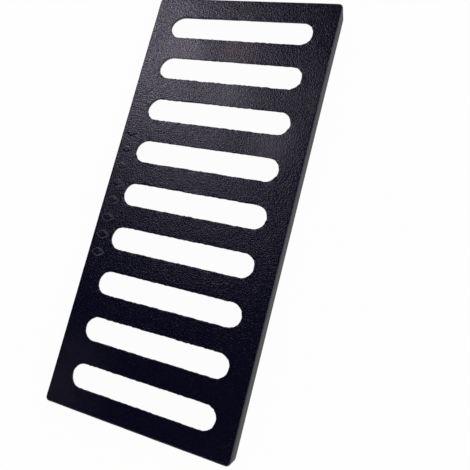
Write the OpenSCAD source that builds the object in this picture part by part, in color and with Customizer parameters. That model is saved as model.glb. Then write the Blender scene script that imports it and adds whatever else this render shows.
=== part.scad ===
// Cast iron channel drain grate.
// One sand casting: a slotted deck inside a deeper rim, with a rib under every bar and a pocket under every slot.
// X runs across the channel, Y along it, and the rim stands on Z = 0 with the walking face up.

/* [Overall] */
// Length along the channel
grate_length = 500; // [300:1:1000]
// Width across the channel
grate_width = 223; // [140:1:400]
// Depth of the rim
rim_depth = 22; // [18:0.5:40]
// Radius of the four outer corners
corner_r = 5; // [3:0.5:12]

/* [Slots] */
// Clear width of each drain slot
slot_w = 26.2; // [14:0.1:40]
// Width of the bar between two slots
bar_w = 26.8; // [20:0.1:40]
// Solid land between a slot's end and the grate's long side
side_land = 25.5; // [22:0.5:50]
// Least solid land between the first or last slot and the grate's end
end_land_min = 22; // [20:0.5:60]
// Slope of the slot walls, which open downwards so that nothing jams
slot_flare = 30; // [3:1:30]
// Rounding of a slot's upper edge
slot_round = 0.8; // [0.5:0.1:1.5]

/* [Underside] */
// Thickness of the deck round the slots
deck_t = 6; // [5:0.5:8]
// Thickness of the rim's wall at its foot
rim_w = 10; // [7:0.5:12]
// Thickness that a rib would have at the level of the rim's foot, centred under its bar
rib_w = 7; // [5:0.1:9]
// How far the ribs stop short of the rim's foot, so that the rim alone stands on the seat
rib_lift = 6; // [2:0.5:8]
// Draft of the ribs and of the rim's inner face
pocket_draft = 4; // [2:0.5:6]
// Radius of a pocket's corners, seen from below
pocket_r = 7; // [5:0.5:9]
// Fillet where the ribs and the rim meet the deck
root_fillet = 3; // [1:0.5:4]

/* [Edges] */
// Rounding of the walking face's outer edge
edge_round = 1.5; // [0.5:0.1:2.5]
// Break of the rim's lower outer edge
foot_break = 0.8; // [0.3:0.1:1.5]
// Draft of the outer sides, which narrow downwards to drop into the frame
side_draft = 1; // [0.5:0.5:4]

/* [Studs] */
// Number of raised studs on the border
stud_count = 8; // [0:1:14]
// Distance from one stud to the next
stud_pitch = 21; // [14:0.5:40]
// Width of a stud across its short corners
stud_w = 11; // [6:0.5:14]
// Height of a stud over the walking face
stud_h = 1.2; // [0.5:0.1:3]
// Bare metal left each side of a stud on its border
stud_margin = 4.5; // [3:0.5:8]

/* [Hidden] */
$fn = 64;
// Steps of a rounded edge, and of a fillet
ROUND_STEPS = 4;
// How far a cut reaches past the faces that it opens
PAST = 2;
IRON = [0.12, 0.11, 0.15];

slot_pitch = slot_w + bar_w;
slot_count = floor((grate_length - 2 * end_land_min + bar_w) / slot_pitch);
slot_straight = grate_width - 2 * side_land - slot_w;
deck_z = rim_depth - deck_t;
// Half width of a slot, and the level below its rounded mouth where it is narrowest
throat_r = slot_w / 2;
throat_z = rim_depth - slot_round;
stud_l = side_land - 2 * stud_margin;

// Where slot number i has its centre line.
function slot_y(i) = (i - (slot_count - 1) / 2) * slot_pitch;

// A length to the nearest thousandth of a millimetre. Profiles that meet end to end are rounded with it,
// so that they meet exactly however far from the origin each one lies.
function micron(v) = round(v * 1000) / 1000;

// Points of an arc about [x, y] from angle a0 to angle a1.
function arc(x, y, r, a0, a1) = [
    for (i = [0:ROUND_STEPS])
        let (a = a0 + (a1 - a0) * i / ROUND_STEPS)
            [micron(x + r * cos(a)), micron(y + r * sin(a))]
];

// Half of the grate's cross-section out to $reach, as if it were solid.
// The outer side leans in towards the foot, and the top edge is rounded.
module side_profile() {
    foot_x = $reach - micron(rim_depth * tan(side_draft));
    polygon(concat(
        [[0, 0], [foot_x - foot_break, 0], [foot_x, foot_break]],
        arc($reach - edge_round, rim_depth - edge_round, edge_round, 0, 90),
        [[0, rim_depth]]
    ));
}

// Half of a pocket's cross-section, $reach wide at the level of the rim's foot.
// It narrows upwards to the deck's underside, where a fillet leads from the wall to the deck.
module pocket_profile() {
    fillet_z = deck_z - root_fillet;
    // The fillet's circle touches the deck's underside and the drafted wall.
    fillet_in = micron(fillet_z * tan(pocket_draft) + root_fillet / cos(pocket_draft));
    polygon(concat(
        [[0, -PAST], [$reach + micron(PAST * tan(pocket_draft)), -PAST]],
        arc($reach - fillet_in, fillet_z, root_fillet, pocket_draft, 90),
        [[0, deck_z]]
    ));
}

// Half of a slot's cross-section through the deck: a flared wall, a throat and a rounded mouth.
module slot_profile() {
    wall_run = throat_z - deck_z + PAST;
    polygon(concat(
        [[0, deck_z - PAST], [micron(throat_r + wall_run * tan(slot_flare)), deck_z - PAST]],
        arc(throat_r + slot_round, throat_z, slot_round, 180 + slot_flare, 90),
        [[throat_r + slot_round, rim_depth + PAST], [0, rim_depth + PAST]]
    ));
}

// Both halves of a cross-section, run along the given length.
module run(length) {
    rotate([90, 0, 0])
        linear_extrude(length, center = true) {
            children();
            mirror([1, 0]) children();
        }
}

// A block with four round upright corners whose sides all have the cross-section that is given:
// two runs across each other and a quarter turn at each corner.
module rounded_block(half_x, half_y, r) {
    let ($reach = half_x) run(2 * (half_y - r)) children();
    rotate([0, 0, 90])
        let ($reach = half_y) run(2 * (half_x - r)) children();
    for (sx = [0, 1])
        for (sy = [0, 1])
            mirror([sx, 0, 0])
                mirror([0, sy, 0])
                    translate([half_x - r, half_y - r, 0])
                        rotate_extrude(angle = 90)
                            let ($reach = r) children();
}

// One slot: its cross-section run straight, then turned half round at both ends.
module slot_cut() {
    for (side = [0, 1])
        mirror([side, 0, 0])
            translate([slot_straight / 2, 0, 0])
                rotate([0, 0, -90])
                    rotate_extrude(angle = 180) slot_profile();
    rotate([0, 0, 90]) run(slot_straight) slot_profile();
}

// The pocket under slot number i. It lies between two ribs, or between a rib and the rim's end.
module pocket_cut(i) {
    rib_reach = (slot_pitch - rib_w) / 2;
    end_y = grate_length / 2 - rim_w;
    y0 = i == 0 ? -end_y : slot_y(i) - rib_reach;
    y1 = i == slot_count - 1 ? end_y : slot_y(i) + rib_reach;
    translate([0, (y0 + y1) / 2, 0])
        rounded_block(grate_width / 2 - rim_w, (y1 - y0) / 2, pocket_r) pocket_profile();
}

// A ridge with flanks at 45 degrees, standing on Z = 0, where it is as wide as w.
module ridge(w, h, length) {
    rotate([90, 0, 0])
        linear_extrude(length, center = true)
            polygon([[-w / 2 - PAST, -PAST], [w / 2 + PAST, -PAST], [w / 2 - h, h], [h - w / 2, h]]);
}

// What lifts the ribs off the seat. Its sloping sides leave a haunch where each rib runs into the rim.
module rib_relief() {
    inner_x = grate_width - 2 * rim_w;
    inner_y = grate_length - 2 * rim_w;
    intersection() {
        ridge(inner_x, rib_lift, grate_length);
        rotate([0, 0, 90]) ridge(inner_y, rib_lift, grate_width);
    }
}

// One lozenge stud: what two crossed ridges share.
module stud() {
    half_angle = atan(stud_w / stud_l);
    across_flats = stud_l * sin(half_angle);
    intersection() {
        rotate([0, 0, 90 - half_angle]) ridge(across_flats, stud_h, 2 * stud_l);
        rotate([0, 0, half_angle - 90]) ridge(across_flats, stud_h, 2 * stud_l);
    }
}

// The row of studs, centred along the border at -X.
module studs() {
    for (i = [0:1:stud_count - 1])
        translate([(side_land - grate_width) / 2, (i - (stud_count - 1) / 2) * stud_pitch, rim_depth])
            stud();
}

module grate() {
    color(IRON) {
        difference() {
            rounded_block(grate_width / 2, grate_length / 2, corner_r) side_profile();
            rib_relief();
            for (i = [0:slot_count - 1]) {
                pocket_cut(i);
                translate([0, slot_y(i), 0]) slot_cut();
            }
        }
        studs();
    }
}

grate();
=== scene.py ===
# %% [markdown]
# # A cast iron drain grate with its foundry skin
# A channel grate is poured as one piece in a sand mould, then dipped in thin black paint. The
# sand leaves its mark everywhere: the faces are slightly wavy, the slot walls are grainy, and no
# edge is quite straight. The measured model underneath has perfect planes. It could simply be
# given a rough material, but then every outline would still look machined, so the casting is
# worked out again as one surface with that unevenness in its shape.

# %% Load the measured model
import math
import bmesh
import bpy
import numpy as np
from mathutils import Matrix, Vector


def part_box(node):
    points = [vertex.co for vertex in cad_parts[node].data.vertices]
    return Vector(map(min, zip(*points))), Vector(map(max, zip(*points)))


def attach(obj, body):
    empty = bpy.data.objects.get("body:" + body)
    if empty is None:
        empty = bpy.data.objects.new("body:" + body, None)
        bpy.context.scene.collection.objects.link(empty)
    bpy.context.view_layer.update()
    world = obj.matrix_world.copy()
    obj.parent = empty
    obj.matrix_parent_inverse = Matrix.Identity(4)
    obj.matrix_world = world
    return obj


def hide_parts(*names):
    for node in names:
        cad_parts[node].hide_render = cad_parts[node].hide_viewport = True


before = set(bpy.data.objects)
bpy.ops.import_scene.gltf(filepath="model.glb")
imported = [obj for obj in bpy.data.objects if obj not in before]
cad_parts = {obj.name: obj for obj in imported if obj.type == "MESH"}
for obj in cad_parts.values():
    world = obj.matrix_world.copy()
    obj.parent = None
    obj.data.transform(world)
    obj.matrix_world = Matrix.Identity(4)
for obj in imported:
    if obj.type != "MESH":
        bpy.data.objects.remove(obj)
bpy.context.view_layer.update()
low, high = (np.array(corner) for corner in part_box("grate"))
print("measured grate, mm:", np.round((high - low) * 1000, 1))

# %% [markdown]
# ## The sizes that shape it
# Sizes are in metres. The outer size comes from the measured model. The slots, ribs and roundings
# have the foundry drawing's values.

# %% Sizes
MM = 0.001
STUD_H = 1.2 * MM
WIDTH, LENGTH = (high - low)[:2]
DEPTH = (high - low)[2] - STUD_H
CORNER_R = 5 * MM
EDGE_ROUND = 1.5 * MM
SIDE_DRAFT = math.radians(1)
FOOT_ROUND = 0.8 * MM

SLOT_W = 26.2 * MM
BAR_W = 26.8 * MM
SIDE_LAND = 25.5 * MM
SLOT_FLARE = math.radians(30)
MOUTH_ROUND = 0.8 * MM
LIP_ROUND = 0.8 * MM
DECK_T = 6 * MM

RIM_W = 10 * MM
RIB_W = 7 * MM
RIB_LIFT = 6 * MM
POCKET_DRAFT = math.radians(4)
POCKET_R = 7 * MM
ROOT_FILLET = 3 * MM

# The least metal between the first or last slot and the plate's end.
END_LAND = 22 * MM

# As many slots as the length has room for, in the middle of the plate.
PITCH = SLOT_W + BAR_W
SLOTS = int((LENGTH - 2 * END_LAND + BAR_W) / PITCH)
slot_y = (np.arange(SLOTS) - (SLOTS - 1) / 2) * PITCH
half_straight = (WIDTH - 2 * SIDE_LAND - SLOT_W) / 2
deck_z = DEPTH - DECK_T
throat_r = SLOT_W / 2
print("slots:", SLOTS, "straight part, mm:", round(2 * half_straight / MM, 1))

# %% [markdown]
# ## A profile with rounded corners
# Three outlines, seen in cross-section, make the whole casting. The slot's has the rounded mouth,
# the wall that opens downwards and the lip under the deck. The pocket's has the fillet at the
# deck and the drafted wall. The rim's outer side is the third. Each is drawn as a few straight
# lines, and one function rounds the corners and adds points along the straight runs.

# %% Rounded profiles
ARC_STEPS = 4
SLOT_GAP = 2 * MM
SIDE_GAP = 2.5 * MM
# The level run kept beyond a rounding, in radii of that rounding.
MOUTH_LEAD, LIP_LEAD, ROOT_LEAD, RIM_LEAD = 1.5, 2, 1.3, 2


def rounded_profile(corners, radii, gap):
    """Points along a bent line whose corners are replaced by arcs.

    An arc of radius r fits a corner of opening angle a when it starts r / tan(a / 2) from the
    corner. Its centre lies on the bisector, r / sin(a / 2) away. Straight runs are cut into equal
    steps no longer than gap.
    """
    corners = np.array(corners, float)
    marks = [corners[0][None]]
    for before, here, after, r in zip(corners[:-2], corners[1:-1], corners[2:], radii):
        a = (before - here) / np.linalg.norm(before - here)
        b = (after - here) / np.linalg.norm(after - here)
        half = math.acos(np.clip(a @ b, -1, 1)) / 2
        centre = here + (a + b) / np.linalg.norm(a + b) * r / math.sin(half)
        start = here + a * r / math.tan(half) - centre
        end = here + b * r / math.tan(half) - centre
        t = np.linspace(0, 1, ARC_STEPS + 1)[:, None]
        turn = math.pi - 2 * half
        arc = (np.sin((1 - t) * turn) * start + np.sin(t * turn) * end) / math.sin(turn)
        marks.append(centre + arc)
    marks.append(corners[-1][None])
    line = [marks[0]]
    for piece in marks[1:]:
        run = piece[0] - line[-1][-1]
        steps = max(1, math.ceil(np.linalg.norm(run) / gap))
        t = np.linspace(0, 1, steps + 1)[1:-1, None]
        line += [line[-1][-1] + run * t, piece] if steps > 1 else [piece]
    return np.concatenate(line)


# Slot profile: (distance from the slot's centre line, height).
# The corner where the flared wall would meet the walking face if the mouth weren't rounded.
slope = math.tan(SLOT_FLARE)
mouth_r = throat_r + MOUTH_ROUND * (1 - math.cos(SLOT_FLARE) - (1 + math.sin(SLOT_FLARE)) * slope)
slot_corners = [
    (throat_r + MOUTH_LEAD * MOUTH_ROUND, DEPTH),
    (mouth_r, DEPTH),
    (mouth_r + DECK_T * slope, deck_z),
    (mouth_r + DECK_T * slope + LIP_LEAD * LIP_ROUND, deck_z),
]
slot_profile = rounded_profile(slot_corners, [MOUTH_ROUND, LIP_ROUND], SLOT_GAP)
# Pocket profile: (distance in from the pocket's outline at the foot, height), without its lower end.
root_in = deck_z * math.tan(POCKET_DRAFT)
pocket_corners = [(root_in + ROOT_LEAD * ROOT_FILLET, deck_z), (root_in, deck_z), (0, 0)]
pocket_profile = rounded_profile(pocket_corners, [ROOT_FILLET], gap=DEPTH)[:-1]
# Side profile: (distance in from the outline, height).
lean = DEPTH * math.tan(SIDE_DRAFT)
side_corners = [
    (RIM_LEAD * EDGE_ROUND, DEPTH),
    (0, DEPTH),
    (lean, 0),
    (lean + RIM_LEAD * FOOT_ROUND, 0),
]
side_profile = rounded_profile(side_corners, [EDGE_ROUND, FOOT_ROUND], SIDE_GAP)
print("profile points:", len(slot_profile), "at a slot,", len(side_profile), "at the rim")

# %% [markdown]
# ## One cell for each slot
# The plate is cut, on paper, into cells: one slot and the metal round it. A cell's edge is a loop
# of points, and each point has a partner on the slot's outline, straight across from it. Rows of
# points between the two loops cover the walking face. More rows follow the slot's wall down
# through the deck, cross the deck's underside to the pocket's wall, go down that, and cover the
# foot. Neighbouring cells share the points on their common edge, so they join without a seam.

# %% Points along an edge
# How many steps an edge has along a slot's straight part, beyond it, and along the plate's side.
ACROSS_MID = 54
ACROSS_END = 15
ALONG = 22
# How much the steps crowd together towards the ends of a side, and of the rows between loops.
ALONG_PULL = 0.45
ROW_PULL = 0.5
# The angle of the sine wave that crowds the steps towards the plate's sides, in radians.
END_TURN = 1.2


def crowded(n, pull):
    """n + 1 values from 0 to 1 that stand closer together at both ends.

    It mixes even steps with a half cosine wave: (1 - pull) t + pull (1 - cos(pi t)) / 2.
    """
    t = np.linspace(0, 1, n + 1)
    return (1 - pull) * t + pull * (1 - np.cos(math.pi * t)) / 2


def across(inset):
    """The x places of the points on an edge that runs across the plate.

    Beyond the straight part they lie at the share sin(END_TURN t) / sin(END_TURN) of the way out.
    """
    reach = WIDTH / 2 - inset
    t = np.linspace(0, 1, ACROSS_END + 1)
    end = half_straight + (reach - half_straight) * np.sin(t * END_TURN) / math.sin(END_TURN)
    middle = np.linspace(-half_straight, half_straight, ACROSS_MID + 1)
    return np.concatenate([-end[:0:-1], middle, end[1:]])


print("points across the plate:", len(across(0)))


# %% Cell edges
def round_corners(p, inset):
    """Moves points beyond a corner's centre onto its arc, along the line from that centre."""
    centre = np.array([WIDTH / 2, LENGTH / 2]) - CORNER_R
    q = np.abs(p) - centre
    outside = (q > 0).all(axis=1)
    arc = centre + q / np.linalg.norm(q, axis=1)[:, None] * (CORNER_R - inset)
    return np.where(outside[:, None], np.sign(p) * arc, p)


def cell_sides(k, inset):
    """The four sides of cell k's edge as point lists: -Y, +X, +Y and -X, running anticlockwise."""
    first, last = k == 0, k == SLOTS - 1
    y0 = -LENGTH / 2 + inset if first else slot_y[k] - PITCH / 2
    y1 = LENGTH / 2 - inset if last else slot_y[k] + PITCH / 2
    x = across(inset)
    y = y0 + (y1 - y0) * crowded(ALONG, ALONG_PULL)
    sides = [
        np.stack([x, np.full_like(x, y0)], 1),
        np.stack([np.full_like(y, x[-1]), y], 1),
        np.stack([x[::-1], np.full_like(x, y1)], 1),
        np.stack([np.full_like(y, x[0]), y[::-1]], 1),
    ]
    return [round_corners(side, inset) for side in sides]


def cell_loop(k, inset):
    """Cell k's whole edge as one closed loop, each corner once."""
    return np.concatenate([side[:-1] for side in cell_sides(k, inset)])


def plate_loop(inset):
    """The plate's outline as one closed loop, from the cells' outer sides."""
    sides = [cell_sides(k, inset) for k in range(SLOTS)]
    right = [s[1][:-1] for s in sides]
    left = [s[3][:-1] for s in sides[::-1]]
    return np.concatenate([sides[0][0][:-1], *right, sides[-1][2][:-1], *left])


print("points round a cell:", len(cell_loop(0, EDGE_ROUND)), "round the plate:", len(plate_loop(0)))


# %% Rows between two loops
# How many steps of rows each part of a cell has: the walking face, the deck's underside, the
# pocket's wall, the small round at its lower end and the foot.
FACE_ROWS = 9
DECK_ROWS = 4
WALL_ROWS = 4
ROUND_ROWS = 3
FOOT_ROWS = 3


def lifted(flat, z):
    """Adds a height, or one height for each point, to points given by x and y."""
    z = np.broadcast_to(z, flat.shape[:-1])
    return np.concatenate([flat, z[..., None]], axis=-1)


def rows_between(outer, inner, steps):
    """Rows from one loop to another, which stand closer together at both: outer (1 - t) + inner t."""
    t = crowded(steps, ROW_PULL)[:, None, None]
    return outer * (1 - t) + inner * t


def foot_height(flat):
    """How high the foot is at each point: 0 under the rim and RIB_LIFT under the ribs.

    Between them it rises at 45 degrees, and its ends are eased: with t running from 0 to 1 up the
    haunch, the height is RIB_LIFT * t * t * (3 - 2 t).
    """
    inset = np.minimum(WIDTH / 2 - np.abs(flat[..., 0]), LENGTH / 2 - np.abs(flat[..., 1]))
    t = np.clip((inset - RIM_W) / RIB_LIFT, 0, 1)
    return RIB_LIFT * t * t * (3 - 2 * t)


print("foot under the middle rib, mm:", round(foot_height(np.array([0, PITCH / 2])) / MM, 1))


# %% A cell's rows
def slot_rows(k, edge):
    """The slot profile carried round slot k: each point goes straight away from the centre line."""
    along = np.clip(edge[:, 0], -half_straight, half_straight)
    centre = np.stack([along, np.full(len(edge), slot_y[k])], 1)
    away = edge - centre
    away /= np.linalg.norm(away, axis=1)[:, None]
    r, z = slot_profile.T[:, :, None]
    return lifted(centre + away * r[..., None], z)


def pocket_loops(k, edge, inset):
    """Rounded rectangles under slot k, one for each inset from the pocket's outline at the foot.

    A point's partner is found from the nearest point c of the rectangle that the corners' centres
    span: it lies at c plus the unit vector away from c, times the corner radius less the inset.
    """
    y0 = RIM_W - LENGTH / 2 if k == 0 else slot_y[k] - (PITCH - RIB_W) / 2
    y1 = LENGTH / 2 - RIM_W if k == SLOTS - 1 else slot_y[k] + (PITCH - RIB_W) / 2
    reach = WIDTH / 2 - RIM_W - POCKET_R
    x = np.clip(edge[:, 0], -reach, reach)
    y = np.clip(edge[:, 1], y0 + POCKET_R, y1 - POCKET_R)
    c = np.stack([x, y], 1)
    away = edge - c
    away /= np.linalg.norm(away, axis=1)[:, None]
    return c + away * (POCKET_R - np.asarray(inset)[:, None, None])


def lower_wall(k, edge):
    """The pocket's wall on down to the foot, wherever that is, ending in a small round.

    The wall leans as its profile does: at height z it is z tan(POCKET_DRAFT) in from its outline.
    """
    outline, inner = pocket_loops(k, edge, [0, 1])
    foot = foot_height(outline)
    t = np.linspace(0, 1, WALL_ROWS + 1)[1:, None]
    wall_z = pocket_profile[-1, 1] * (1 - t) + (foot + FOOT_ROUND) * t
    wall_in = wall_z * math.tan(POCKET_DRAFT)
    turn = np.linspace(0, math.pi / 2, ROUND_ROWS + 1)[1:, None]
    round_z = foot + FOOT_ROUND * (1 - np.sin(turn))
    round_in = wall_in[-1] - FOOT_ROUND * (1 - np.cos(turn))
    z = np.concatenate([wall_z, round_z])
    inset = np.concatenate([wall_in, round_in])
    return lifted(outline + (inner - outline) * inset[..., None], z)


# %% Every cell's grid
def cell_rows(k):
    """Cell k as a grid: the walking face, the slot, the deck's underside, the pocket and the foot."""
    edge = cell_loop(k, side_profile[0, 0])
    slot = slot_rows(k, edge)
    face = lifted(rows_between(edge, slot[0, :, :2], FACE_ROWS), DEPTH)

    pocket = lifted(pocket_loops(k, edge, pocket_profile[:, 0]), pocket_profile[:, 1][:, None])
    deck = lifted(rows_between(slot[-1, :, :2], pocket[0, :, :2], DECK_ROWS), deck_z)
    lower = lower_wall(k, edge)
    foot_edge = cell_loop(k, side_profile[-1, 0])
    foot = rows_between(lower[-1, :, :2], foot_edge, FOOT_ROWS)
    foot = lifted(foot, foot_height(foot))
    return np.concatenate([face[:-1], slot, deck[1:-1], pocket, lower, foot[1:]])


def side_rows():
    """The outer side as a grid of points: from the walking face, over the edge, down to the foot."""
    return np.stack([lifted(plate_loop(inset), z) for inset, z in side_profile])


def grid_faces(rows, loop, start, flip):
    """Corner numbers of the quads between neighbouring rows of a closed loop."""
    at = start + np.arange(rows * loop).reshape(rows, loop)
    beside = np.roll(at, -1, axis=1)
    quads = np.stack([at[:-1], beside[:-1], beside[1:], at[1:]], axis=2).reshape(-1, 4)
    return quads[:, ::-1] if flip else quads


grids = [cell_rows(k) for k in range(SLOTS)] + [side_rows()]
points, quads = [], []
for grid in grids:
    quads.append(grid_faces(*grid.shape[:2], sum(map(len, points)), flip=grid is grids[-1]))
    points.append(grid.reshape(-1, 3))
points, quads = np.concatenate(points), np.concatenate(quads)
print("points before joining:", len(points), "quads:", len(quads))

# %% [markdown]
# ## Sand
# A mould's surface is uneven at every size, from a hand's width down to a grain. Smooth random
# values on a lattice, read off between the lattice points and added up at several sizes, behave
# the same way. Numpy can do this for all points at once.

# %% Smooth random values
LATTICE = 32


def smooth_random(p, size, seed):
    """Random values from -1 to 1 that change smoothly over a distance of about size.

    Each corner of a lattice of that size has a random value. A point takes a weighted mean of the
    eight corners round it, and the weights ease in and out as t * t * (3 - 2 t).
    """
    table = np.random.default_rng(seed).uniform(-1, 1, (LATTICE, LATTICE, LATTICE))
    q = p / size
    base = np.floor(q).astype(int)
    t = q - base
    t = t * t * (3 - 2 * t)
    total = np.zeros(len(p))
    for corner in np.ndindex(2, 2, 2):
        weight = np.prod(np.where(corner, t, 1 - t), axis=1)
        i, j, k = ((base + corner) % LATTICE).T
        total += weight * table[i, j, k]
    return total


print("random value at one corner:", smooth_random(high[None], 5 * MM, 1).round(2))

# %% Sand relief
# Each layer of unevenness has a depth, a size from one hump to the next, and a seed.
BROAD = (0.22 * MM, 55 * MM, 1)
MIDDLE = (0.10 * MM, 14 * MM, 2)
FINE = (0.03 * MM, 4.5 * MM, 3)
# The slots' edges are torn deeper than the faces, within this distance of the edge.
TORN = (0.12 * MM, 9 * MM, 4)
CRUMBLED = (0.42 * MM, 2.7 * MM, 5)
EDGE_REACH = 2.5 * MM


def layer(p, kind):
    """One layer's depth at each point: its depth times a smooth random value of its size."""
    depth, size, seed = kind
    return depth * smooth_random(p, size, seed)


def slot_distance(p):
    """How far a point lies from the nearest slot's centre line."""
    nearest = slot_y[np.abs(p[:, 1][:, None] - slot_y).argmin(axis=1)]
    return np.hypot(np.clip(np.abs(p[:, 0]) - half_straight, 0, None), p[:, 1] - nearest)


def sand_relief(p):
    """How far the mould's unevenness moves a point in or out.

    The torn edges' share is exp(-(d / EDGE_REACH) squared), with d the distance from the edge, and
    nothing below the deck is torn.
    """
    edge = np.exp(-(((slot_distance(p) - throat_r) / EDGE_REACH) ** 2)) * (p[:, 2] > deck_z - MM)
    ragged = edge * (layer(p, TORN) + layer(p, CRUMBLED))
    return layer(p, BROAD) + layer(p, MIDDLE) + layer(p, FINE) + ragged


print("relief at one corner, mm:", (sand_relief(high[None]) / MM).round(2))


# %% [markdown]
# ## The casting
# The points go into a mesh, the cells are joined where they share points, and each point then
# moves along its normal by the sand's relief. The foot is left level, so that the grate stands on
# its frame without rocking.


# %% Mesh helpers
def new_mesh(name, verts, faces):
    """A mesh object from arrays of corner places and of corner numbers, four to a face."""
    mesh = bpy.data.meshes.new(name)
    mesh.from_pydata(verts, [], [list(face) for face in faces])
    mesh.validate()
    piece = bpy.data.objects.new(name, mesh)
    bpy.context.scene.collection.objects.link(piece)
    return piece


def join_close_points(piece, gap):
    """Joins points nearer to each other than gap, which closes the seams between grids."""
    bm = bmesh.new()
    bm.from_mesh(piece.data)
    bmesh.ops.remove_doubles(bm, verts=bm.verts, dist=gap)
    open_edges = sum(1 for e in bm.edges if len(e.link_faces) != 2)
    bm.to_mesh(piece.data)
    bm.free()
    return open_edges


def vectors(mesh, kind):
    """One vector for each point: its place for the kind "co", and its normal for "normal"."""
    flat = np.empty(len(mesh.vertices) * 3)
    mesh.vertices.foreach_get(kind, flat)
    return flat.reshape(-1, 3)


# %% Make the casting
SEAM_GAP = 0.01 * MM
# The relief fades to nothing over this height above the foot.
LEVEL_H = 3 * MM

casting = new_mesh("grate_casting", points, quads)
print("open edges:", join_close_points(casting, SEAM_GAP))
p, n = vectors(casting.data, "co"), vectors(casting.data, "normal")
level_foot = np.clip(p[:, 2] / LEVEL_H, 0, 1)
p += n * (sand_relief(p) * level_foot)[:, None]
casting.data.vertices.foreach_set("co", p.ravel())
casting.data.shade_smooth()
casting.data.update()
print("casting triangles:", 2 * len(casting.data.polygons))

# %% [markdown]
# ## Raised studs
# A row of low lozenge studs gives grip on the border. Each one is a small dome with four soft
# corners. It is drawn as rings: the ring's shape is the lozenge, and its height falls off slowly
# at first and steeply at the rim. The domes reach below the walking face and are then united with
# the casting, because they were poured with it.

# %% Stud sizes
STUDS = 8
STUD_PITCH = 21 * MM
STUD_LONG = 17 * MM
STUD_WIDE = 11 * MM
# The outline's power, which is 1 for a sharp lozenge and 2 for an ellipse.
STUD_SOFT = 1.25
# The height's power. A high one keeps the top flat and makes the rim steep.
STUD_FALL = 6
# The grid: points round a ring, rings, the innermost ring's share of the way out, how much the
# rings crowd outwards, and how far the last one goes past the outline, into the casting.
STUD_ROUND = 56
STUD_RINGS = 12
STUD_FIRST = 0.06
STUD_CROWD = 0.6
STUD_PAST = 1.08


def stud_grid(centre_y):
    """One stud as a grid of rings by angle.

    The outline is the curve |x / a| ** p + |y / b| ** p = 1 with p = STUD_SOFT, which is a
    lozenge with soft corners. At share s of the way out the height is h (1 - s ** STUD_FALL), so
    the outermost rings lie inside the casting.
    """
    a, b = STUD_LONG / 2, STUD_WIDE / 2
    angle = np.linspace(0, 2 * math.pi, STUD_ROUND, endpoint=False)
    lozenge = np.abs(np.cos(angle) / a) ** STUD_SOFT + np.abs(np.sin(angle) / b) ** STUD_SOFT
    reach = lozenge ** (-1 / STUD_SOFT)
    s = STUD_PAST * np.linspace(STUD_FIRST, 1, STUD_RINGS)[:, None] ** STUD_CROWD
    x = -WIDTH / 2 + SIDE_LAND / 2 + s * reach * np.cos(angle)
    y = centre_y + s * reach * np.sin(angle)
    z = np.broadcast_to(DEPTH + STUD_H * (1 - s**STUD_FALL), x.shape)
    return np.stack([x, y, z], axis=2)


print("stud, mm:", STUD_LONG / MM, "by", STUD_WIDE / MM, "by", round(STUD_H / MM, 1))


# %% Closed domes and their union
def closed_dome(grid):
    """Corner places and faces of a dome grid, closed by a point on top and a point underneath."""
    rings, around = grid.shape[:2]
    top = grid[0].mean(axis=0)
    under = grid[-1].mean(axis=0)
    verts = np.concatenate([grid.reshape(-1, 3), [top, under]])
    faces = grid_faces(rings, around, 0, flip=True).tolist()
    ring = np.arange(around)
    ahead = (ring + 1) % around
    crown = np.stack([ahead, np.full(around, rings * around), ring], 1)
    last = (rings - 1) * around
    base = np.stack([last + ring, np.full(around, rings * around + 1), last + ahead], 1)
    return verts, faces + crown.tolist() + base.tolist()


def unite(piece, other):
    """Joins another closed mesh to a piece, which keeps one skin, and deletes the other object."""
    joint = piece.modifiers.new("joint", "BOOLEAN")
    joint.operation = "UNION"
    joint.solver = "MANIFOLD"
    joint.object = other
    graph = bpy.context.evaluated_depsgraph_get()
    mesh = bpy.data.meshes.new_from_object(piece.evaluated_get(graph))
    piece.modifiers.clear()
    piece.data = mesh
    bpy.data.objects.remove(other)


# %% Make the studs
# Two faces that meet at more than this angle keep a sharp edge between them.
SHARP = math.radians(42)

verts, faces = [], []
for i in range(STUDS):
    dome_verts, dome_faces = closed_dome(stud_grid((i - (STUDS - 1) / 2) * STUD_PITCH))
    start = sum(map(len, verts))
    verts.append(dome_verts)
    faces += [[start + corner for corner in face] for face in dome_faces]
verts = np.concatenate(verts)
verts[:, 2] += sand_relief(verts)
studs = new_mesh("studs", verts, faces)
unite(casting, studs)
casting.data.shade_smooth()
casting.data.set_sharp_from_angle(angle=SHARP)
casting.data.calc_loop_triangles()
print("casting triangles with studs:", len(casting.data.loop_triangles))

# %% [markdown]
# ## Shader maths as plain expressions
# A node material is easier to read as a formula. A small class wraps a socket, so that sums and
# products of sockets add the Math nodes themselves, and one method adds any other node.


# %% Sockets with operators
class Wire:
    """An output socket that can be added, subtracted and multiplied, which adds Math nodes."""

    def __init__(self, graph, socket):
        self.graph = graph
        self.socket = socket

    def math(self, operation, *values):
        """The output of a Math node that works on the values."""
        return self.graph.add("ShaderNodeMath", {"operation": operation}, dict(enumerate(values)))

    def __add__(self, other):
        return self.math("ADD", self, other)

    def __mul__(self, other):
        return self.math("MULTIPLY", self, other)

    def __sub__(self, other):
        return self.math("SUBTRACT", self, other)

    def __rsub__(self, other):
        return self.math("SUBTRACT", other, self)

    __radd__ = __add__
    __rmul__ = __mul__


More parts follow.
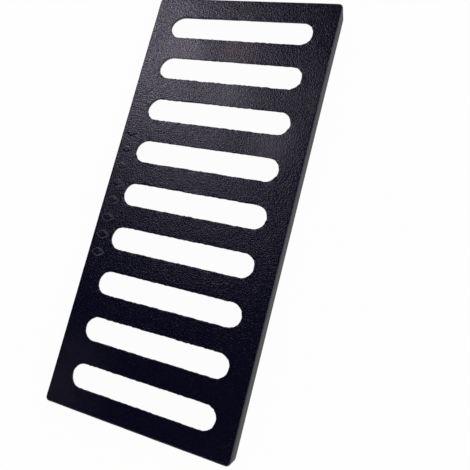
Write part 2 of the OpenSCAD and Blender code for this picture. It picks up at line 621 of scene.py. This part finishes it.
class Graph:
    """A node tree that is filled by calls."""

    def __init__(self, tree):
        self.tree = tree
        tree.nodes.clear()

    def add(self, kind, settings, inputs, out=0):
        """Adds a node: its settings first, then values or links by socket name or number."""
        node = self.tree.nodes.new(kind)
        for name, value in settings.items():
            setattr(node, name, value)
        for key, value in inputs.items():
            if isinstance(value, Wire):
                self.tree.links.new(value.socket, node.inputs[key])
            else:
                node.inputs[key].default_value = value
        return Wire(self, node.outputs[out]) if node.outputs else node

    def noise(self, place, size, detail):
        """Smooth noise from 0 to 1 with features about as large as size, in metres.

        Each step of detail adds noise of half the size and half the strength.
        """
        inputs = {"Vector": place, "Scale": 1 / size, "Detail": detail}
        return self.add("ShaderNodeTexNoise", {}, inputs)

    def ramp(self, value, low, high):
        """0 below low, 1 above high, and a smooth rise between."""
        inputs = {"Value": value, "From Min": low, "From Max": high}
        return self.add("ShaderNodeMapRange", {"interpolation_type": "SMOOTHSTEP"}, inputs)

    def mix(self, share, a, b):
        """A colour between a, at share 0, and b, at share 1."""
        return self.add("ShaderNodeMix", {"data_type": "RGBA"}, {0: share, 6: a, 7: b}, out=2)


def material(name):
    """A new material and its empty graph."""
    made = bpy.data.materials.new(name)
    made.use_nodes = True
    return made, Graph(made.node_tree)


# %% [markdown]
# ## Black dipped iron
# The paint is thin, so the sand's grain shows through it. Where a lamp is mirrored the grain turns
# into a fine sparkle, and away from it the metal falls to blue black. Grain smaller than about two
# millimetres would need millions of faces, so from there down it is bump.
#
# Dipped paint dries unevenly, and the sides and the slots' walls stay duller than the face. In a
# few places the mirrored sheen on the walking face is brighter than the lamps make it, and in one it
# is warmer. That sheen is painted into the base colour, light grey and in the warm place brownish, as
# soft round spots broken up by a cloudy noise. An image could hold this painted sheen too, but the
# spots need none, and they keep their place on the metal from every side.

# %% The grain as bump
COARSE_SIZE, COARSE_DEPTH = 5 * MM, 0.03 * MM
GRAIN_SIZE, GRAIN_DEPTH = 1.35 * MM, 0.34 * MM

iron, g = material("black_cast_iron")
place = g.add("ShaderNodeTexCoord", {}, {}, out="Object")
coarse = g.noise(place, COARSE_SIZE, detail=1)
grain = g.noise(place, GRAIN_SIZE, detail=0)
height = coarse * COARSE_DEPTH + grain * GRAIN_DEPTH
bump = g.add("ShaderNodeBump", {}, {"Height": height, "Distance": 1.0, "Strength": 1.0})
print("grain, mm:", GRAIN_SIZE / MM, "across,", GRAIN_DEPTH / MM, "deep")

# %% Where the face is, and the painted sheen
# Metal deeper than the first below the walking face counts as side, and above the second as face.
SIDE_BELOW, FACE_ABOVE = 1.6 * MM, 0.4 * MM
# Painted sheen spots on the walking face: x, y and reach in millimetres, and how strong the painted
# sheen is.
SHEEN_SPOTS = [
    (-64, 180, 40, 1.55),
    (8, 129, 48, 0.65),
    (74, 82, 44, 0.7),
    (-80, 228, 26, 0.4),
    (92, 145, 60, 0.25),
    (-100, -220, 90, 0.16),
]
# Where the painted sheen is warm, a painted warm reflection: x, y and reach in millimetres, and how
# strong it is.
WARM_SHEEN_SPOT = (8, 184, 50, 0.6)
# The size of a cloud in the painted sheen, how much the painted sheen varies with it, and how much is
# even.
CLOUD_SIZE, CLOUDY, EVEN = 30 * MM, 1.6, 0.2


def spot(x, y, reach, strength):
    """A soft spot on the walking face: its strength at the middle and 0 from reach onwards."""
    middle = (x * MM, y * MM, DEPTH)
    distance = {"operation": "DISTANCE"}
    away = g.add("ShaderNodeVectorMath", distance, {0: place, 1: middle}, out="Value")
    return g.ramp(away, reach * MM, 0) * strength


z = g.add("ShaderNodeSeparateXYZ", {}, {"Vector": place}, out="Z")
walked_on = g.ramp(z, DEPTH - SIDE_BELOW, DEPTH - FACE_ABOVE)
aside = 1 - walked_on
cloud = g.noise(place, CLOUD_SIZE, detail=3) * CLOUDY + EVEN
# Painted sheen: how much light grey goes into the base colour at each point, standing in for brighter
# mirrored light.
sheen_share = sum(spot(*sheen) for sheen in SHEEN_SPOTS) * cloud * walked_on
# Painted warm sheen: how much brownish tint goes into the base colour at each point.
warm_sheen_share = spot(*WARM_SHEEN_SPOT) * cloud * walked_on
print("dry spots:", len(SHEEN_SPOTS))

# %% Iron material
BLACK = (0.0004, 0.0005, 0.0086, 1)
# Light grey painted into the base colour as a painted sheen.
SHEEN_GREY = (0.0400, 0.0360, 0.0440, 1)
# Brownish, painted into the base colour for the warmer sheen in one place.
WARM_SHEEN = (0.0400, 0.0240, 0.0200, 1)
DUST = (0.0200, 0.0180, 0.0190, 1)
DUST_SHARE = 0.35
FACE_ROUGHNESS, SIDE_ROUGHNESS = 0.28, 0.66
PAINT_IOR = 1.45

# The painted sheen, grey and then warm, is mixed into the blue black.
colour = g.mix(sheen_share, BLACK, SHEEN_GREY)
colour = g.mix(warm_sheen_share, colour, WARM_SHEEN)
colour = g.mix(aside * DUST_SHARE, colour, DUST)
roughness = aside * (SIDE_ROUGHNESS - FACE_ROUGHNESS) + FACE_ROUGHNESS
shader = g.add(
    "ShaderNodeBsdfPrincipled",
    {},
    {"Base Color": colour, "Roughness": roughness, "Normal": bump, "IOR": PAINT_IOR},
)
g.add("ShaderNodeOutputMaterial", {}, {"Surface": shader})
casting.data.materials.clear()
casting.data.materials.append(iron)
print("iron nodes:", len(iron.node_tree.nodes))

# %% [markdown]
# ## White ground
# The grate lies on plain white paper. Paper lit until it looked white would throw so much light
# back that the iron turned grey, so the floor glows instead, at a strength of 1, and only for rays
# from the camera or by way of a mirroring or clear surface. Every other ray meets matte paper. A
# little of the matte stays in what the camera sees, and that carries the grate's shadow.

# %% Floor
HALF_FLOOR = 4
# A little under the grate's foot, so that the two never share a plane.
FLOOR_Z = -0.2 * MM
PAPER = (0.8, 0.8, 0.8, 1)
WHITE = (1, 1, 1, 1)
GLOW_SHARE = 0.97

corners = HALF_FLOOR * np.array([(-1, -1), (1, -1), (1, 1), (-1, 1)])
floor = new_mesh("floor", lifted(corners, FLOOR_Z), np.array([[0, 1, 2, 3]]))
paper, g = material("white_paper")
matte = g.add("ShaderNodeBsdfDiffuse", {}, {"Color": PAPER})
glow = g.add("ShaderNodeEmission", {}, {"Color": WHITE, "Strength": 1.0})
camera_ray, glossy_ray, clear_ray = (
    g.add("ShaderNodeLightPath", {}, {}, out=name)
    for name in ("Is Camera Ray", "Is Glossy Ray", "Is Transmission Ray")
)
seen = camera_ray + glossy_ray + clear_ray
surface = g.add("ShaderNodeMixShader", {}, {0: seen * GLOW_SHARE, 1: matte, 2: glow})
g.add("ShaderNodeOutputMaterial", {}, {"Surface": surface})
floor.data.materials.append(paper)
print("floor, m:", 2 * HALF_FLOOR, "square")

# %% [markdown]
# ## A bright dome with a dark part
# Glossy black iron shows little but what it mirrors. A plain bright room lights the sides and the
# slots' walls evenly, but the walking face would mirror it into the camera and look grey. In a
# studio a black cloth, called a flag, hangs where the face would mirror the room. Here the dome's
# brightness fades out round the flag's direction, which the angle to that direction gives. The
# camera itself sees plain white.

# %% World
FLAG = np.array([-0.40, 0.15, 0.90])
FLAG /= np.linalg.norm(FLAG)
# How far round the flag's direction the dome is fully dark, and where it is bright again.
FLAG_CORE, FLAG_EDGE = math.radians(45), math.radians(70)
CLOTH = (0.004, 0.004, 0.005, 1)
DOME_STRENGTH = 1.8

world = bpy.data.worlds.new("studio")
bpy.context.scene.world = world
world.use_nodes = True
g = Graph(world.node_tree)
way = g.add("ShaderNodeTexCoord", {}, {}, out="Generated")
dot = {"operation": "DOT_PRODUCT"}
toward_flag = g.add("ShaderNodeVectorMath", dot, {0: way, 1: tuple(FLAG)}, out="Value")
dark = g.ramp(toward_flag, math.cos(FLAG_EDGE), math.cos(FLAG_CORE))
tone = g.mix(dark, WHITE, CLOTH)
dome = g.add("ShaderNodeBackground", {}, {"Color": tone, "Strength": DOME_STRENGTH})
plain = g.add("ShaderNodeBackground", {}, {"Color": WHITE, "Strength": 1.0})
camera_ray = g.add("ShaderNodeLightPath", {}, {}, out="Is Camera Ray")
surround = g.add("ShaderNodeMixShader", {}, {0: camera_ray, 1: dome, 2: plain})
g.add("ShaderNodeOutputWorld", {}, {"Surface": surround})
print("flag's direction:", FLAG.round(2))

# %% [markdown]
# ## Three soft lamps
# The sparkle on the far half comes from lamps that the grain mirrors towards the camera. One lamp
# would make one bright patch with a clear edge. Three round lamps at rising heights behind the far
# left corner overlap instead, and their light dies away slowly towards the near end. Each one is
# an area lamp aimed at the middle of the grate. The tint gives the black its violet cast.

# %% Lamps
VIOLET = (1.0, 0.91, 1.12)


def softbox(name, place, size, watts):
    """A round area lamp aimed at the origin.

    A lamp shines down its own -Z. Tipping it by the angle whose cosine is its height over its
    distance, then turning it about Z, points that at the origin.
    """
    light = bpy.data.lights.new(name, "AREA")
    light.shape = "DISK"
    light.size = size
    light.energy = watts
    light.color = VIOLET
    lamp = bpy.data.objects.new(name, light)
    bpy.context.scene.collection.objects.link(lamp)
    lamp.location = place
    x, y, z = place
    lamp.rotation_euler = (math.acos(z / math.dist(place, (0, 0, 0))), 0, math.atan2(x, -y))
    print("lamp", name, "at", place, "with", watts, "W")


softbox("key", place=(-0.95, 0.96, 1.02), size=0.40, watts=4.0)
softbox("far", place=(-0.60, 0.98, 1.25), size=0.40, watts=0.9)
softbox("high", place=(-0.62, 0.56, 1.47), size=0.60, watts=2.1)

# %% [markdown]
# ## Camera
# The grate is seen from half a metre above its near right part, with a fairly wide lens, so that
# its far end looks clearly smaller than its near end. The shift slides the picture a little across
# the sensor without turning the camera, which keeps the perspective. It stays small, because the
# same shift moves the object off centre in every other view.

# %% Camera
EYE = (0.20258, -0.10486, 0.48138)
TURN = (10.33363, 16.30545, 15.11242)
LENS = 35.21232
SENSOR = 36
SHIFT = (0.03, 0.06)

scene = bpy.context.scene
scene.view_settings.view_transform = "Standard"
camera = bpy.data.objects.new("camera", bpy.data.cameras.new("camera"))
scene.collection.objects.link(camera)
scene.camera = camera
camera.location = EYE
camera.rotation_euler = [math.radians(angle) for angle in TURN]
camera.data.lens = LENS
camera.data.sensor_width = SENSOR
camera.data.shift_x, camera.data.shift_y = SHIFT
print("camera's distance from the grate's middle, m:", round(math.dist(EYE, (0, 0, DEPTH)), 2))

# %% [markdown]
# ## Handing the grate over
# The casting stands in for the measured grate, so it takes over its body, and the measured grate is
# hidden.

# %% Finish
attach(casting, "root")
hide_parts("grate")
